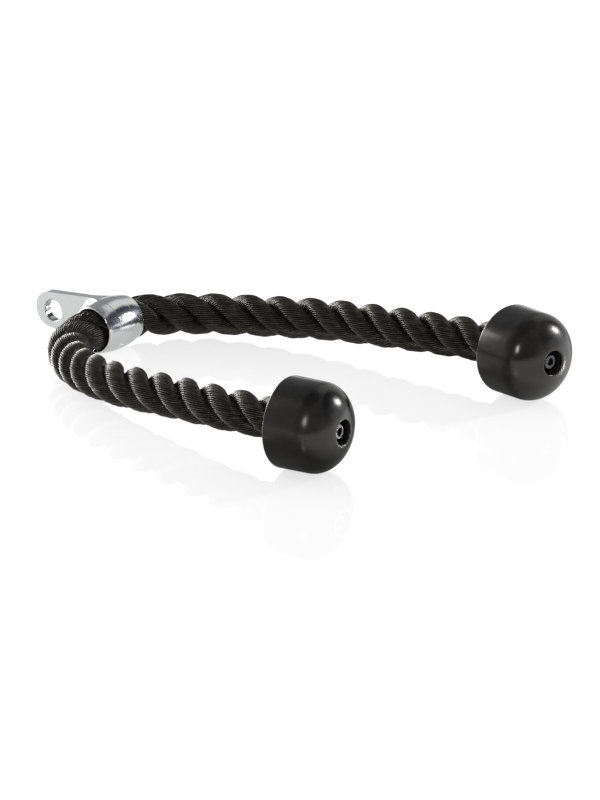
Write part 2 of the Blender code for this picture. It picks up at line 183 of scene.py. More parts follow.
# How finely the turned pieces are made, and the angles in degrees past which an edge stays sharp
CASTING_STEPS = 160
CIRCLE_STEPS = 128
CAP_STEPS = 128
CAP_DOME_STEPS = 40
EYE_STEPS = 96
FERRULE_STEPS = 72
SCREW_STEPS = 64
BARREL_SPANS = 32
FILLET_STEPS = 20
RIM_STEPS = 8
LIP_STEPS = 6
MOUTH_STEPS = 5
HEAD_STEPS = 4
MERGE_DISTANCE = 1e-6
SAME_PLANE_ANGLE = 0.5
ROPE_SHARP_ANGLE = 75
TURNED_SHARP_ANGLE = 35
CASTING_SHARP_ANGLE = 30

# Studio floor
FLOOR_SIZE = 9.0
FLOOR_DROP = 0.0001
FLOOR_GLOW = 0.72

# Camera at the photograph's angle
AZIMUTH = math.radians(40)
ELEVATION = math.radians(21)
CAMERA_DISTANCE = 3.3
LENS_MM = 222.75
SENSOR_MM = 36.0
VIEW_REACH = 30.0
LOOK = Vector((
    -math.sin(AZIMUTH) * math.cos(ELEVATION),
    math.cos(AZIMUTH) * math.cos(ELEVATION),
    -math.sin(ELEVATION),
))
AIM = Vector((0.0443, -0.0044, 0.0))
camera_data = bpy.data.cameras.new("photo_camera")
camera_data.lens = LENS_MM
camera_data.sensor_width = SENSOR_MM
camera_data.clip_end = VIEW_REACH
camera = bpy.data.objects.new("photo_camera", camera_data)
bpy.context.scene.collection.objects.link(camera)
camera.location = AIM - CAMERA_DISTANCE * LOOK
camera.rotation_euler = LOOK.to_track_quat("-Z", "Y").to_euler()
bpy.context.scene.camera = camera


# Modelling
def deselect_all():
    if bpy.context.mode != "OBJECT":
        bpy.ops.object.mode_set(mode="OBJECT")
    bpy.ops.object.select_all(action="DESELECT")


def pick(piece):
    """Selects one piece alone."""
    deselect_all()
    piece.select_set(True)
    bpy.context.view_layer.objects.active = piece


def apply_modifiers(piece):
    pick(piece)
    for modifier in list(piece.modifiers):
        bpy.ops.object.modifier_apply(modifier=modifier.name)


def put(piece, matrix):
    """Gives a piece its place and leaves that place in its mesh."""
    pick(piece)
    piece.matrix_world = matrix
    bpy.ops.object.transform_apply(location=True, rotation=True, scale=True)


def copy_of(piece, name):
    pick(piece)
    bpy.ops.object.duplicate(linked=False)
    twin = bpy.context.object
    twin.name = name
    twin.data.name = name
    return twin


def arc(centre_r, centre_z, radius, start, end, steps):
    """Points of an arc in a cross-section, between two angles in degrees."""
    points = []
    for i in range(steps + 1):
        angle = math.radians(start + (end - start) * i / steps)
        points.append((centre_r + radius * math.cos(angle), centre_z + radius * math.sin(angle)))
    return points


def mirrored_down(outline):
    """The same points below the middle, in the order that carries the line on."""
    return [(r, -z) for r, z in reversed(outline)]


def turned(name, outline, steps):
    """Extrudes one corner along half a cross-section and spins the line round the Z axis."""
    deselect_all()
    bpy.ops.mesh.primitive_plane_add(size=0.001, location=(0, 0, 0))
    piece = bpy.context.object
    piece.name = name
    piece.data.name = name
    bpy.ops.object.mode_set(mode="EDIT")
    bpy.ops.mesh.select_all(action="SELECT")
    bpy.ops.mesh.merge(type="CENTER")
    here = (0.0, 0.0)
    for index, (r, z) in enumerate(outline):
        move = (r - here[0], 0, z - here[1])
        if index == 0:
            bpy.ops.transform.translate(value=move)
        else:
            bpy.ops.mesh.extrude_region_move(TRANSFORM_OT_translate={"value": move})
        here = (r, z)
    bpy.ops.mesh.select_all(action="SELECT")
    bpy.ops.mesh.remove_doubles(threshold=MERGE_DISTANCE)
    bpy.ops.mesh.select_all(action="SELECT")
    bpy.ops.mesh.spin(steps=steps, angle=math.tau, center=(0, 0, 0), axis=(0, 0, 1))
    bpy.ops.mesh.select_all(action="SELECT")
    bpy.ops.mesh.remove_doubles(threshold=MERGE_DISTANCE)
    bpy.ops.mesh.normals_make_consistent(inside=False)
    bpy.ops.object.mode_set(mode="OBJECT")
    return piece


def cut(piece, operation, other):
    """Joins or cuts with another shape, which is then gone."""
    modifier = piece.modifiers.new(operation.title(), "BOOLEAN")
    modifier.operation = operation
    modifier.solver = "EXACT"
    modifier.object = other
    apply_modifiers(piece)
    bpy.data.objects.remove(other, do_unlink=True)


def round_edges(piece, name, width, segments, degrees):
    """Rounds the edges that turn by more than that angle."""
    edge = piece.modifiers.new(name, "BEVEL")
    edge.width = width
    edge.segments = segments
    edge.limit_method = "ANGLE"
    edge.angle_limit = math.radians(degrees)
    apply_modifiers(piece)


def smooth(piece, degrees):
    pick(piece)
    bpy.ops.object.shade_smooth_by_angle(angle=math.radians(degrees))


def even_normals(piece):
    """Keeps the flat faces flat beside their rounded edges."""
    modifier = piece.modifiers.new("Even normals", "WEIGHTED_NORMAL")
    modifier.keep_sharp = True
    apply_modifiers(piece)


# Materials
def material(name):
    made = bpy.data.materials.new(name)
    made.use_nodes = True
    return made, made.node_tree.nodes, made.node_tree.links, made.node_tree.nodes["Principled BSDF"]


def node(nodes, kind, **settings):
    made = nodes.new(kind)
    for key, value in settings.items():
        setattr(made, key, value)
    return made


def math_node(nodes, links, operation, first, second=None, third=None):
    made = node(nodes, "ShaderNodeMath", operation=operation)
    for socket, value in zip(made.inputs, (first, second, third)):
        if value is None:
            continue
        if isinstance(value, (int, float)):
            socket.default_value = value
        else:
            links.new(value, socket)
    return made.outputs[0]


def combined(nodes, links, operation, first, *others):
    """Carries one sum, product, least or greatest value through a row of values."""
    for other in others:
        first = math_node(nodes, links, operation, first, other)
    return first


def noise(nodes, links, vector, scale, detail, roughness=0.5):
    made = node(nodes, "ShaderNodeTexNoise")
    made.inputs["Scale"].default_value = scale
    made.inputs["Detail"].default_value = detail
    made.inputs["Roughness"].default_value = roughness
    links.new(vector, made.inputs["Vector"])
    return made.outputs["Fac"]


def ramp(nodes, links, value, stops):
    made = node(nodes, "ShaderNodeValToRGB")
    links.new(value, made.inputs["Fac"])
    elements = made.color_ramp.elements
    while len(elements) < len(stops):
        elements.new(0.5)
    for element, (position, colour) in zip(elements, stops):
        element.position = position
        element.color = (*colour, 1.0)
    return made.outputs["Color"]


def grey(level):
    return (level, level, level)


def remap(nodes, links, value, old_range, new_range):
    """Stretches one range of values onto another and holds it there."""
    made = node(nodes, "ShaderNodeMapRange")
    links.new(value, made.inputs["Value"])
    made.inputs["From Min"].default_value, made.inputs["From Max"].default_value = old_range
    made.inputs["To Min"].default_value, made.inputs["To Max"].default_value = new_range
    return made.outputs["Result"]


def bump(nodes, links, height, distance, under=None):
    made = node(nodes, "ShaderNodeBump")
    made.inputs["Distance"].default_value = distance
    made.inputs["Strength"].default_value = 1.0
    links.new(height, made.inputs["Height"])
    if under is not None:
        links.new(under, made.inputs["Normal"])
    return made.outputs["Normal"]


def yarn_material():
    """Black nylon: round yarns side by side along the rope, each with its fine filaments, and
    painted shade in the gaps between them.
    """
    made, nodes, links, shader = material("black_laid_nylon")
    place = node(nodes, "ShaderNodeUVMap", uv_map="yarns")
    parts = node(nodes, "ShaderNodeSeparateXYZ")
    links.new(place.outputs["UV"], parts.inputs[0])
    across, along = parts.outputs[0], parts.outputs[1]

    def stretched(across_scale, along_scale):
        both = node(nodes, "ShaderNodeCombineXYZ")
        links.new(math_node(nodes, links, "MULTIPLY", across, across_scale), both.inputs[0])
        links.new(math_node(nodes, links, "MULTIPLY", along, along_scale), both.inputs[1])
        return both.outputs[0]

    # The map counts yarns across, so each whole number is the gap between two of them
    share = math_node(nodes, links, "FRACT", across)
    wave = math_node(nodes, links, "SINE", math_node(nodes, links, "MULTIPLY", share, math.pi))
    yarn_profile_and_groove_shade = math_node(nodes, links, "POWER", wave, 0.6)
    filaments = noise(nodes, links, stretched(7.0, 0.55), scale=1.0, detail=3.0, roughness=0.6)
    fuzz = noise(nodes, links, stretched(2.2, 0.9), scale=1.0, detail=4.0, roughness=0.65)
    patches = noise(nodes, links, stretched(0.9, 0.10), scale=1.0, detail=2.0, roughness=0.5)
    lifted = math_node(nodes, links, "ADD", patches, 0.5)
    # Painted shade: the colour goes near black in the gaps between yarns and lighter on their
    # crests, with random tone on top
    tone = combined(nodes, links, "MULTIPLY", yarn_profile_and_groove_shade, fuzz, lifted)
    colour = ramp(nodes, links, tone, [
        (0.18, (0.0005, 0.0005, 0.0004)),
        (0.38, (0.0032, 0.0029, 0.0025)),
        (0.53, (0.0150, 0.0136, 0.0115)),
        (0.72, (0.0880, 0.0800, 0.0680)),
    ])
    links.new(colour, shader.inputs["Base Color"])
    links.new(remap(nodes, links, fuzz, (0.3, 0.7), (0.26, 0.40)), shader.inputs["Roughness"])
    shader.inputs["Specular IOR Level"].default_value = 0.30
    shader.inputs["Specular Tint"].default_value = (1.0, 0.93, 0.82, 1.0)
    height = math_node(nodes, links, "MULTIPLY_ADD", filaments, 0.30, yarn_profile_and_groove_shade)
    links.new(bump(nodes, links, height, distance=0.00020), shader.inputs["Normal"])
    return made


def casting_material():
    """Polished and plated casting: slightly wavy, with faint polishing lines, small pits and painted
    shade inside the eye.
    """
    made, nodes, links, shader = material("polished_plated_casting")
    place = node(nodes, "ShaderNodeTexCoord").outputs["Object"]
    waves = noise(nodes, links, place, scale=130.0, detail=2.0)
    grain = noise(nodes, links, place, scale=1900.0, detail=3.0, roughness=0.6)
    lines = node(nodes, "ShaderNodeMapping")
    lines.inputs["Scale"].default_value = (1.0, 0.06, 1.0)
    links.new(place, lines.inputs["Vector"])
    scratches = noise(nodes, links, lines.outputs[0], scale=5200.0, detail=2.0, roughness=0.7)
    colour = ramp(nodes, links, grain, [(0.25, (0.52, 0.525, 0.53)), (0.60, (0.61, 0.615, 0.615))])

    # Painted shade: darker inside the eye's bore, down to about half the colour on its wall, fading
    # out over its rounded edges
    eye = node(nodes, "ShaderNodeMapping")
    eye.inputs["Location"].default_value = (-EYE_CENTRE[0], 0.0, -EYE_CENTRE[1])
    eye.inputs["Scale"].default_value = (1.0, 0.0, 1.0)
    links.new(place, eye.inputs["Vector"])
    reach = node(nodes, "ShaderNodeVectorMath", operation="LENGTH")
    links.new(eye.outputs[0], reach.inputs[0])
    edge = (EYE_RADIUS - EYE_SHADE_DEPTH, EYE_RADIUS + EYE_ROUNDING)
    eye_shade = node(nodes, "ShaderNodeMixRGB", blend_type="MULTIPLY")
    eye_shade.inputs["Fac"].default_value = 1.0
    links.new(colour, eye_shade.inputs["Color1"])
    links.new(remap(nodes, links, reach.outputs["Value"], edge, (0.50, 1.0)), eye_shade.inputs["Color2"])
    links.new(eye_shade.outputs[0], shader.inputs["Base Color"])
    shader.inputs["Metallic"].default_value = 1.0
    mixed = math_node(nodes, links, "MULTIPLY_ADD", scratches, 0.5, grain)
    links.new(remap(nodes, links, mixed, (0.5, 1.0), (0.13, 0.24)), shader.inputs["Roughness"])
    wavy = bump(nodes, links, waves, distance=0.00018)
    fine = bump(nodes, links, mixed, distance=0.000004, under=wavy)
    links.new(fine, shader.inputs["Normal"])
    return made


def moulded_material():
    """Smooth black moulding: a soft gloss that varies, with faint scuffs and dust."""
    made, nodes, links, shader = material("smooth_black_moulding")
    place = node(nodes, "ShaderNodeTexCoord").outputs["Object"]
    broad = noise(nodes, links, place, scale=55.0, detail=3.0, roughness=0.55)
    peel = noise(nodes, links, place, scale=700.0, detail=2.0)
    dust = noise(nodes, links, place, scale=2600.0, detail=2.0, roughness=0.7)
    specks = remap(nodes, links, dust, (0.60, 0.72), (0.0, 1.0))
    tone = math_node(nodes, links, "MULTIPLY_ADD", specks, 0.45, broad)
    colour = ramp(nodes, links, tone, [
        (0.30, (0.0048, 0.0044, 0.0041)),
        (0.70, (0.0098, 0.0091, 0.0085)),
        (1.00, (0.0480, 0.0450, 0.0410)),
    ])
    links.new(colour, shader.inputs["Base Color"])
    links.new(remap(nodes, links, broad, (0.3, 0.7), (0.15, 0.30)), shader.inputs["Roughness"])
    shader.inputs["Specular IOR Level"].default_value = 0.27
    shader.inputs["Specular Tint"].default_value = (1.0, 0.96, 0.92, 1.0)
    links.new(bump(nodes, links, peel, distance=0.000012), shader.inputs["Normal"])
    return made


def steel_material():
    """Blackened steel: dark, with brighter worn spots."""
    made, nodes, links, shader = material("blackened_steel")
    place = node(nodes, "ShaderNodeTexCoord").outputs["Object"]
    wear = noise(nodes, links, place, scale=420.0, detail=4.0, roughness=0.6)
    grain = noise(nodes, links, place, scale=3200.0, detail=2.0)
    colour = ramp(nodes, links, wear, [(0.35, (0.020, 0.020, 0.021)), (0.65, (0.075, 0.075, 0.078))])
    links.new(colour, shader.inputs["Base Color"])
    shader.inputs["Metallic"].default_value = 1.0
    links.new(remap(nodes, links, wear, (0.3, 0.7), (0.20, 0.34)), shader.inputs["Roughness"])
    links.new(bump(nodes, links, grain, distance=0.000010), shader.inputs["Normal"])
    return made


YARN = yarn_material()
CASTING = casting_material()
MOULDING = moulded_material()
STEEL = steel_material()


# Rope
def route_samples():
    """A natural cubic spline through the route's points, and lengths from the sleeve's centre."""
    points = np.array(ROUTE)
    knots = np.concatenate([[0.0], np.cumsum(np.linalg.norm(np.diff(points, axis=0), axis=1))])
    spans = np.diff(knots)
    count = len(points)
    system = np.zeros((count, count))
    target = np.zeros((count, 3))
    system[0, 0] = 1
    system[-1, -1] = 1
    for i in range(1, count - 1):
        system[i, i - 1] = spans[i - 1]
        system[i, i] = 2 * (spans[i - 1] + spans[i])
        system[i, i + 1] = spans[i]
        slope_after = (points[i + 1] - points[i]) / spans[i]
        slope_before = (points[i] - points[i - 1]) / spans[i - 1]
        target[i] = 6 * (slope_after - slope_before)
    bends = np.linalg.solve(system, target)
    samples = []
    for i in range(count - 1):
        for step in range(SAMPLES_PER_SPAN):
            b = step / SAMPLES_PER_SPAN
            a = 1 - b
            correction = ((a**3 - a) * bends[i] + (b**3 - b) * bends[i + 1]) * spans[i] ** 2 / 6
            samples.append(a * points[i] + b * points[i + 1] + correction)
    samples.append(points[-1])
    samples = np.array(samples)
    lengths = np.concatenate([[0.0], np.cumsum(np.linalg.norm(np.diff(samples, axis=0), axis=1))])
    return samples, lengths - lengths[SLEEVE_POINT * SAMPLES_PER_SPAN]


def carried_sides(samples):
    """Two directions across the route at each sample, carried along it without twist."""
    tangents = np.gradient(samples, axis=0)
    tangents /= np.linalg.norm(tangents, axis=1)[:, None]
    sides = np.zeros_like(tangents)
    side = np.cross(tangents[0], (0, 0, 1))
    for i, tangent in enumerate(tangents):
        side = side - tangent * (side @ tangent)
        side /= np.linalg.norm(side)
        sides[i] = side
    return sides, np.cross(tangents, sides)


def soft_bends(samples, lengths):
    """How the route bends at each sample, averaged over a stretch of rope on both sides."""
    tangents = np.gradient(samples, lengths, axis=0)
    bends = np.gradient(tangents, lengths, axis=0)
    softened = np.zeros_like(bends)
    for i, length in enumerate(lengths):
        weights = np.exp(-(((lengths - length) / BEND_REACH) ** 2))
        softened[i] = (weights[:, None] * bends).sum(axis=0) / weights.sum()
    return softened


SAMPLES, LENGTHS = route_samples()
SIDES, RISES = carried_sides(SAMPLES)
BENDS = soft_bends(SAMPLES, LENGTHS)


def at_length(values, length):
    return np.array([np.interp(length, LENGTHS, values[:, axis]) for axis in range(3)])


def share_between(length, start, end):
    """0 up to the start of a stretch, 1 from its end, and the share of it in between."""
    return min(max((length - start) / (end - start), 0.0), 1.0)


def lay_turn(length):
    """Turns that the strands have made there.

    The near bend was laid a third of a turn tighter, and the rope is slacker by the near cap.
    """
    mouths = (-SLEEVE_LENGTH / 2, SLEEVE_LENGTH / 2)
    tight = share_between(length, TIGHT_START, TIGHT_END)
    tight = tight * tight * (3 - 2 * tight) / STRANDS
    slack = CAP_SLACK_TURN * share_between(length, CAP_SLACK_START, LENGTHS[0])
    start = np.interp(length, mouths, (NEAR_TURN_SHARE, FAR_TURN_SHARE))
    return start + length / LAY_LENGTH + tight + slack


def ring_radii(angles, first, squeeze, length):
    """The rope's radius at each angle of one cross-section: three round strands and their yarns.

    On the inside of a bend the strands are squeezed together and their creases close.
    """
    place = (angles / math.tau - first) * STRANDS
    strand = np.round(place)
    share = np.abs(place - strand) * 2
    drop = LOBE_DROP * (1 - squeeze) * share**LOBE_POWER + CREASE_DROP * share**CREASE_POWER
    yarn = angles / math.tau * YARNS_AROUND + YARN_OFFSETS[np.mod(strand, STRANDS).astype(int)]
    across = np.sqrt(np.maximum(0.0, 1 - (2 * np.mod(yarn, 1.0) - 1) ** 2))
    number = np.floor(yarn)
    fast, slow = (np.sin(turn * number + run * length) for turn, run in (FAST_WAVE, SLOW_WAVE))
    uneven = 1 + YARN_UNEVENNESS * fast * slow
    socket = min(length - LENGTHS[0], LENGTHS[-1] - length) - SOCKET_DEPTH
    crown = np.interp(socket, (0.0, SOCKET_TAPER), (SOCKET_ROPE_RADIUS, ROPE_RADIUS))
    return crown + BULGE * squeeze - drop - YARN_HEIGHT * (1 - across * uneven), yarn


def rope_rings(lengths):
    """The points of the rope's cross-sections, and the count of yarns at each of them."""
    width = YARNS_AROUND * STEPS_ACROSS_YARN
    angles = math.tau * np.arange(width) / width
    points = []
    yarns = []
    for length in lengths:
        centre, side, rise, bend = (at_length(v, length) for v in (SAMPLES, SIDES, RISES, BENDS))
        outward = np.cos(angles)[:, None] * side + np.sin(angles)[:, None] * rise
        past_mouth = max(abs(length) - SLEEVE_LENGTH / 2, 0.0) / MOUTH_REACH
        held = MOUTH_SQUEEZE * math.exp(-(past_mouth**2))
        squeeze = np.clip(SQUEEZE * (outward @ bend) * ROPE_RADIUS, held, SQUEEZE_LIMIT)
        radii, yarn = ring_radii(angles, lay_turn(length), squeeze, length)
        points.append(centre + radii[:, None] * outward)
        yarns.append(yarn)
    return np.concatenate(points), np.array(yarns)


def laid_rope(name, start, end):
    """A stretch of the rope as one skin over its three strands, with a map of its yarns."""
    rows = max(2, round((end - start) / STEP_ALONG_ROPE)) + 1
    lengths = np.linspace(start, end, rows)
    points, yarns = rope_rings(lengths)
    corners = np.arange(len(points)).reshape(rows, -1)
    after = np.roll(corners, -1, axis=1)
    quads = np.stack([corners[:-1], after[:-1], after[1:], corners[1:]], axis=-1).reshape(-1, 4)
    ends = [corners[0, ::-1].tolist(), corners[-1].tolist()]
    mesh = bpy.data.meshes.new(name)
    mesh.from_pydata(points.tolist(), [], quads.tolist() + ends)

    # Map: yarns across, millimetres along
    step = 1 / STEPS_ACROSS_YARN
    across = np.stack([yarns[:-1], yarns[:-1] + step, yarns[1:] + step, yarns[1:]], axis=-1)
    along = np.empty_like(across)
    along[..., :2] = lengths[:-1, None, None] * MAP_UNITS_PER_METRE
    along[..., 2:] = lengths[1:, None, None] * MAP_UNITS_PER_METRE
    flat = np.zeros((len(mesh.loops), 2))
    flat[: quads.size] = np.stack([across.ravel(), along.ravel()], axis=-1)
    mesh.uv_layers.new(name="yarns").data.foreach_set("uv", flat.ravel())
    mesh.validate()

    piece = bpy.data.objects.new(name, mesh)
    bpy.context.scene.collection.objects.link(piece)
    smooth(piece, ROPE_SHARP_ANGLE)
    pick(piece)
    bpy.ops.object.mode_set(mode="EDIT")
    bpy.ops.mesh.select_all(action="SELECT")
    bpy.ops.mesh.normals_make_consistent(inside=False)
    bpy.ops.object.mode_set(mode="OBJECT")
    piece.data.materials.append(YARN)
    return piece


# Caps and what they hold, each turned upright round the Z axis
def cap_place(rear, rope_end):
    """The place of a cap whose axis runs from one point of the route to the rope's end."""
    along = (Vector(rope_end) - Vector(rear)).normalized()
    across = Vector((0, 0, 1)).cross(along).normalized()
    turn = Matrix((across, along.cross(across), along)).transposed().to_4x4()
    return Matrix.Translation(rear) @ turn


def cap_front(angle):
    """A point of the dome's curve, from its foot at 0 to the axis at a right angle."""
    power = 2 / CAP_POWER
    radius = CAP_FRONT_RADIUS * math.cos(angle) ** power
    return radius, CAP_SIDE + CAP_DOME * math.sin(angle) ** power


def moulded_cap():
    """The cap: recess lip, dome, side, rear rim, dished rear face, socket, web and recess."""
    lip_share = (RECESS_RADIUS + RECESS_LIP) / CAP_FRONT_RADIUS
    lip_angle = math.acos(lip_share ** (CAP_POWER / 2))
    outline = [cap_front(lip_angle * (1 - i / CAP_DOME_STEPS)) for i in range(CAP_DOME_STEPS + 1)]
    lip, edge = outline[0]
    outline += arc(CAP_REAR_RADIUS - CAP_RIM, CAP_RIM, CAP_RIM, 0, -90, RIM_STEPS)
    outline += arc(SOCKET_RADIUS + CAP_RIM, CAP_DISH + CAP_RIM, CAP_RIM, -90, -180, LIP_STEPS)
    outline += [
        (SOCKET_RADIUS, CAP_WEB),
        (HOLE_RADIUS, CAP_WEB),
        (HOLE_RADIUS, RECESS_FLOOR),
        (RECESS_RADIUS - RECESS_LIP, RECESS_FLOOR),
        (RECESS_RADIUS, RECESS_FLOOR + RECESS_LIP),
    ]
    outline += arc(lip, edge - RECESS_LIP, RECESS_LIP, 180, 90, LIP_STEPS)
    cap = turned("end_cap", outline, CAP_STEPS)
    smooth(cap, TURNED_SHARP_ANGLE)
    cap.data.materials.append(MOULDING)
    return cap


def rope_ferrule():
    """The metal cup on the rope's end: broken front edge, rounded mouth, bore and screw hole."""
    mouth = (FERRULE_RADIUS - FERRULE_BORE) / 2
    outline = [(FERRULE_RADIUS - FERRULE_EDGE, FERRULE_FRONT)]
    outline.append((FERRULE_RADIUS, FERRULE_FRONT - FERRULE_EDGE))
    outline += arc(FERRULE_BORE + mouth, FERRULE_MOUTH + mouth, mouth, 0, -180, RIM_STEPS)
    outline += [
        (FERRULE_BORE, FERRULE_NOSE),
        (HOLE_RADIUS, FERRULE_NOSE),
        (HOLE_RADIUS, FERRULE_FRONT),
        (FERRULE_RADIUS - FERRULE_EDGE, FERRULE_FRONT),
    ]
    ferrule = turned("rope_ferrule", outline, FERRULE_STEPS)
    smooth(ferrule, TURNED_SHARP_ANGLE)
    ferrule.data.materials.append(STEEL)
    return ferrule


def cap_washer():
    """The washer under the screw's head, with the edge of its upper face broken."""
    top = WASHER_SEAT + WASHER_THICKNESS
    outline = [(WASHER_RADIUS - WASHER_EDGE, top), (WASHER_RADIUS, top - WASHER_EDGE)]
    outline += [(WASHER_RADIUS, WASHER_SEAT), (HOLE_RADIUS, WASHER_SEAT), (HOLE_RADIUS, top)]
    outline.append(outline[0])
    washer = turned("cap_washer", outline, SCREW_STEPS)
    smooth(washer, TURNED_SHARP_ANGLE)
    washer.data.materials.append(STEEL)
    return washer


def socket_screw():
    """A socket screw: turned head and shank, its hexagon pressed in and its edges broken."""
    top = SCREW_SEAT + HEAD_HEIGHT
    tip = SCREW_SEAT - SHANK_LENGTH
    flat = HEAD_RADIUS - HEAD_ROUNDING
    outline = [(0, top), (flat, top)]
    outline += arc(flat, top - HEAD_ROUNDING, HEAD_ROUNDING, 90, 0, HEAD_STEPS)[1:]
    outline += [
        (HEAD_RADIUS, SCREW_SEAT + SEAT_EDGE),
        (HEAD_RADIUS - SEAT_EDGE, SCREW_SEAT),
        (SHANK_RADIUS, SCREW_SEAT),
        (SHANK_RADIUS, tip + SHANK_EDGE),
        (SHANK_RADIUS - SHANK_EDGE, tip),
        (0, tip),
    ]
    screw = turned("cap_screw", outline, SCREW_STEPS)
    deselect_all()
    corner = HEX_ACROSS_FLATS / 2 / math.cos(math.pi / 6)
    bpy.ops.mesh.primitive_cylinder_add(
        vertices=6, radius=corner, depth=2 * HEX_DEPTH, location=(0, 0, top)
    )
    cut(screw, "DIFFERENCE", bpy.context.object)
    round_edges(screw, "Broken edges", BROKEN_EDGE, segments=2, degrees=50)
    smooth(screw, TURNED_SHARP_ANGLE)
    screw.data.materials.append(STEEL)
    return screw


# Saddle, made with its barrel along Z and its eye towards -X
def barrel_radius(height):
    share = height / (SLEEVE_LENGTH / 2)
    return BARREL_RADIUS - (BARREL_RADIUS - MOUTH_RADIUS) * share**2


def flared_plate():
    """A disc with a fillet up to the barrel on both faces."""
    half = PLATE_THICKNESS / 2
    root = half + PLATE_FILLET
    hub = barrel_radius(root) - FILLET_SINK
    upper = [(0, root)]
    upper += arc(hub + PLATE_FILLET, root, PLATE_FILLET, 180, 270, FILLET_STEPS)
    upper.append((TIP_DISTANCE + TIP_RADIUS + CUT_OVERRUN, half))
    return turned("saddle_casting", upper + mirrored_down(upper), CASTING_STEPS)


def teardrop_block():
    """The tip's circle and the root's circle wrapped in one skin."""
    low = -CUTTER_HALF_DEPTH
    deselect_all()
    bpy.ops.mesh.primitive_circle_add(
        vertices=CIRCLE_STEPS, radius=TIP_RADIUS, location=(-TIP_DISTANCE, 0, low)
    )
    block = bpy.context.object
    bpy.ops.object.mode_set(mode="EDIT")
    bpy.ops.mesh.primitive_circle_add(
        vertices=CIRCLE_STEPS, radius=BARREL_RADIUS - ROOT_SINK, location=(0, 0, low)
    )
    bpy.ops.mesh.select_all(action="SELECT")
    bpy.ops.mesh.extrude_region_move(TRANSFORM_OT_translate={"value": (0, 0, 2 * CUTTER_HALF_DEPTH)})
    bpy.ops.mesh.select_all(action="SELECT")
    bpy.ops.mesh.convex_hull()
    bpy.ops.mesh.select_all(action="SELECT")
    bpy.ops.mesh.dissolve_limited(angle_limit=math.radians(SAME_PLANE_ANGLE))
    bpy.ops.mesh.normals_make_consistent(inside=False)
    bpy.ops.object.mode_set(mode="OBJECT")
    return block


def swelling_barrel():
    """The barrel, swelling from its rounded mouths to the middle."""
    end = SLEEVE_LENGTH / 2
    top = end - MOUTH_ROUNDING
    face = barrel_radius(top) - MOUTH_ROUNDING
    mouth = [(0, end), (face, end)] + arc(face, top, MOUTH_ROUNDING, 90, 0, MOUTH_STEPS)[1:]
    heights = [top - 2 * top * i / BARREL_SPANS for i in range(1, BARREL_SPANS)]
    side = [(barrel_radius(height), height) for height in heights]
    return turned("barrel", mouth + side + mirrored_down(mouth), CASTING_STEPS)


def rounded_bore(name, radius, depth, rounding, steps):
    """A cutter for a bore whose edges it rounds at both faces."""
    half = depth / 2
    curve = arc(radius + rounding, half - rounding, rounding, 105, 180, RIM_STEPS)
    upper = [(0, half + CUT_OVERRUN), (curve[0][0], half + CUT_OVERRUN)] + curve
    return turned(name, upper + mirrored_down(upper), steps)


def saddle_casting():
    """The saddle: a plate that flares into the barrel, trimmed to a teardrop and bored twice."""
    casting = flared_plate()
    cut(casting, "INTERSECT", teardrop_block())
    round_edges(casting, "Rounded edge", PLATE_EDGE_ROUNDING, segments=6, degrees=55)
    cut(casting, "UNION", swelling_barrel())
    bore = rounded_bore("sleeve_bore", BORE_RADIUS, SLEEVE_LENGTH, BORE_ROUNDING, CASTING_STEPS)
    cut(casting, "DIFFERENCE", bore)
    eye = rounded_bore("eye_bore", EYE_RADIUS, PLATE_THICKNESS, EYE_ROUNDING, EYE_STEPS)
    put(eye, Matrix.Translation((-EYE_DISTANCE, 0, 0)))
    cut(casting, "DIFFERENCE", eye)
    smooth(casting, CASTING_SHARP_ANGLE)
    even_normals(casting)
    casting.data.materials.append(CASTING)
    turn = Matrix.Rotation(-EYE_DROOP, 4, "Y") @ Matrix.Rotation(-math.pi / 2, 4, "X")
    put(casting, Matrix.Translation(SLEEVE_CENTRE) @ turn)
    return casting


# The pieces in their places
CAP_PLACES = {"near": cap_place(ROUTE[1], ROUTE[0]), "far": cap_place(ROUTE[-2], ROUTE[-1])}
CAP = moulded_cap()
FERRULE = rope_ferrule()
WASHER = cap_washer()
SCREW = socket_screw()
HELD = {}
for side in ("near", "far"):
    HELD[side] = []
    for model, piece_name, slot in (
        (CAP, "end_cap", "black_moulded_cap"),
        (FERRULE, "rope_ferrule", "dark_steel"),
        (WASHER, "cap_washer", "dark_steel"),
        (SCREW, "cap_screw", "dark_steel"),
    ):
        piece = copy_of(model, f"{side}_{piece_name}_finished")
        put(piece, CAP_PLACES[side])
        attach(piece, f"{side}_arm")
        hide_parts(f"{side}_{piece_name}")
        HELD[side].append(piece)
for model in (CAP, FERRULE, WASHER, SCREW):
    bpy.data.objects.remove(model, do_unlink=True)

SADDLE = saddle_casting()
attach(SADDLE, "saddle")
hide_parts("saddle_eye")

# Each arm's rope: from where to where, where it bends, and where it leaves the sleeve
ARM_PARTS = {
    "near": (LENGTHS[0], 0.0, -FLEX_START, -FLEX_END, -SLEEVE_LENGTH / 2),
    "far": (0.0, LENGTHS[-1], FLEX_START, FLEX_END, SLEEVE_LENGTH / 2),
}
for side, (start, end, bend_start, bend_end, exit_length) in ARM_PARTS.items():
    rope = laid_rope(f"{side}_laid_rope", start, end)
    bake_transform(rope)
    stretches = [f"{side}_flex", f"{side}_arm"] + (["core"] if side == "near" else [])
    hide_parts(*[f"{stretch}_strand_{k}" for stretch in stretches for k in (1, 2, 3)])


# Floor, lamps and surroundings
def any_ray(nodes, links, *kinds):
    """1 for a ray of one of these kinds, else 0."""
    rays = node(nodes, "ShaderNodeLightPath")
    return combined(nodes, links, "MAXIMUM", *[rays.outputs[kind] for kind in kinds])


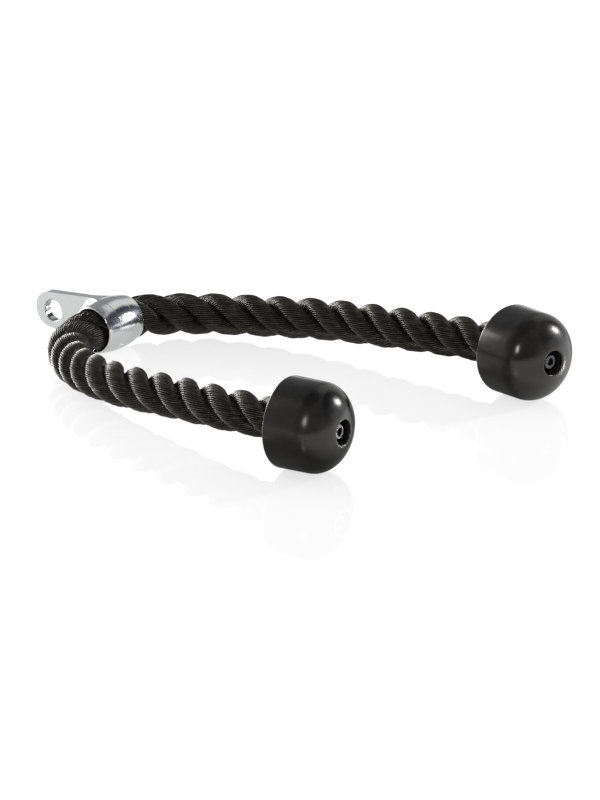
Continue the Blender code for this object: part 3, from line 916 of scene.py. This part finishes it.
def floor_material():
    """White gloss that keeps the object's shadow and is lit by itself where it is seen.

    In the object's gloss it shows a painted reflection: a pale glow on the left, a dark gap that
    paints shade on the caps' lower sides, and a bright glow on the right.
    """
    made, nodes, links, shader = material("white_gloss_floor")
    shader.inputs["Roughness"].default_value = 0.0
    shader.inputs["Specular IOR Level"].default_value = 0.8
    seen = any_ray(nodes, links, "Is Camera Ray")
    mirrored = any_ray(nodes, links, "Is Glossy Ray", "Is Transmission Ray")
    looked_at = math_node(nodes, links, "MAXIMUM", seen, mirrored)
    colour = ramp(nodes, links, looked_at, [(0.0, grey(0.90)), (1.0, grey(0.20))])
    links.new(colour, shader.inputs["Base Color"])
    sides = node(nodes, "ShaderNodeSeparateXYZ")
    links.new(node(nodes, "ShaderNodeTexCoord").outputs["Object"], sides.inputs[0])
    left_to_right = remap(nodes, links, sides.outputs[0], (-0.2, 0.3), (0.0, 1.0))
    # Painted reflection, seen only in gloss: pale on the left, a dark gap under the caps as painted
    # shade on their lower sides, bright on the right
    painted_reflection_glow = ramp(nodes, links, left_to_right, [
        (0.45, grey(0.62)),
        (0.60, grey(0.04)),
        (0.72, grey(0.04)),
        (0.80, grey(1.5)),
    ])
    glow = math_node(nodes, links, "MULTIPLY", seen, FLOOR_GLOW)
    glow = math_node(nodes, links, "MULTIPLY_ADD", mirrored, painted_reflection_glow, glow)
    links.new(glow, shader.inputs["Emission Strength"])
    shader.inputs["Emission Color"].default_value = (1, 1, 1, 1)
    return made


def towards(azimuth, elevation):
    """The direction at these angles in degrees, from +X round to +Y and up."""
    az, el = math.radians(azimuth), math.radians(elevation)
    return math.cos(az) * math.cos(el), math.sin(az) * math.cos(el), math.sin(el)


def studio_world():
    """A white studio whose dark screens show only in the object's gloss."""
    world = bpy.data.worlds.new("studio_world")
    world.use_nodes = True
    bpy.context.scene.world = world
    nodes, links = world.node_tree.nodes, world.node_tree.links
    background = nodes["Background"]
    seen = any_ray(nodes, links, "Is Camera Ray", "Is Glossy Ray", "Is Transmission Ray")
    links.new(remap(nodes, links, seen, (0, 1), (0.85, 1.0)), background.inputs["Strength"])
    direction = node(nodes, "ShaderNodeTexCoord").outputs["Generated"]

    def screen(azimuth, elevation, inner, outer, level):
        """Dims the studio round one direction: 1 past the outer angle, level in the inner one."""
        dot = node(nodes, "ShaderNodeVectorMath", operation="DOT_PRODUCT")
        links.new(direction, dot.inputs[0])
        dot.inputs[1].default_value = towards(azimuth, elevation)
        edges = (math.cos(math.radians(outer)), math.cos(math.radians(inner)))
        return remap(nodes, links, dot.outputs["Value"], edges, (1.0, level))

    # Four screens behind the object overlap, and the darkest counts
    behind = combined(
        nodes, links, "MINIMUM",
        screen(160, 45, 20, 32, 0.35),
        screen(137, 40, 11, 15.5, 0.35),
        screen(133, 22, 11, 22, 0.35),
        screen(160, 62, 16, 27, 0.30),
    )
    # Beyond the far cap, round the camera and overhead
    shade = combined(
        nodes, links, "MULTIPLY",
        screen(50, 22, 31, 37, 0.02),
        screen(-50, 35, 45, 75, 0.30),
        screen(0, 90, 20, 31, 0.12),
        behind,
    )
    unshaded = any_ray(nodes, links, "Is Camera Ray", "Is Diffuse Ray", "Is Singular Ray")
    shade = math_node(nodes, links, "MAXIMUM", shade, unshaded)
    colour = ramp(nodes, links, shade, [(0.0, (0.012, 0.014, 0.042)), (1.0, grey(1.0))])
    links.new(colour, background.inputs["Color"])


def lamp(name, azimuth, elevation, distance, width, tall, power, colour=(1, 1, 1)):
    """A soft rectangular lamp, aimed at the middle of the object."""
    out = Vector(towards(azimuth, elevation))
    data = bpy.data.lights.new(name, "AREA")
    data.shape = "RECTANGLE"
    data.size = width
    data.size_y = tall
    data.energy = power
    data.color = colour
    made = bpy.data.objects.new(name, data)
    made.location = out * distance
    made.rotation_euler = (-out).to_track_quat("-Z", "Y").to_euler()
    bpy.context.scene.collection.objects.link(made)


deselect_all()
bpy.ops.mesh.primitive_plane_add(size=FLOOR_SIZE, location=(0, 0, -FLOOR_DROP))
floor = bpy.context.object
floor.name = "studio_floor"
floor.data.materials.append(floor_material())
studio_world()

# Name, azimuth, elevation, distance, width, height, power and colour
lamp("key_lamp", 55, 21, 1.25, 0.12, 0.20, 9)
lamp("low_softbox", 43, 9, 1.3, 0.90, 0.34, 1.4, (0.86, 0.91, 1.0))
lamp("camera_lamp", -60, 29, 1.6, 0.26, 0.40, 8)
lamp("rim_lamp", 172, 13, 1.3, 0.80, 0.46, 22)
lamp("left_lamp", -165, 22, 1.4, 0.45, 0.60, 7)

bpy.context.scene.view_settings.view_transform = "Standard"
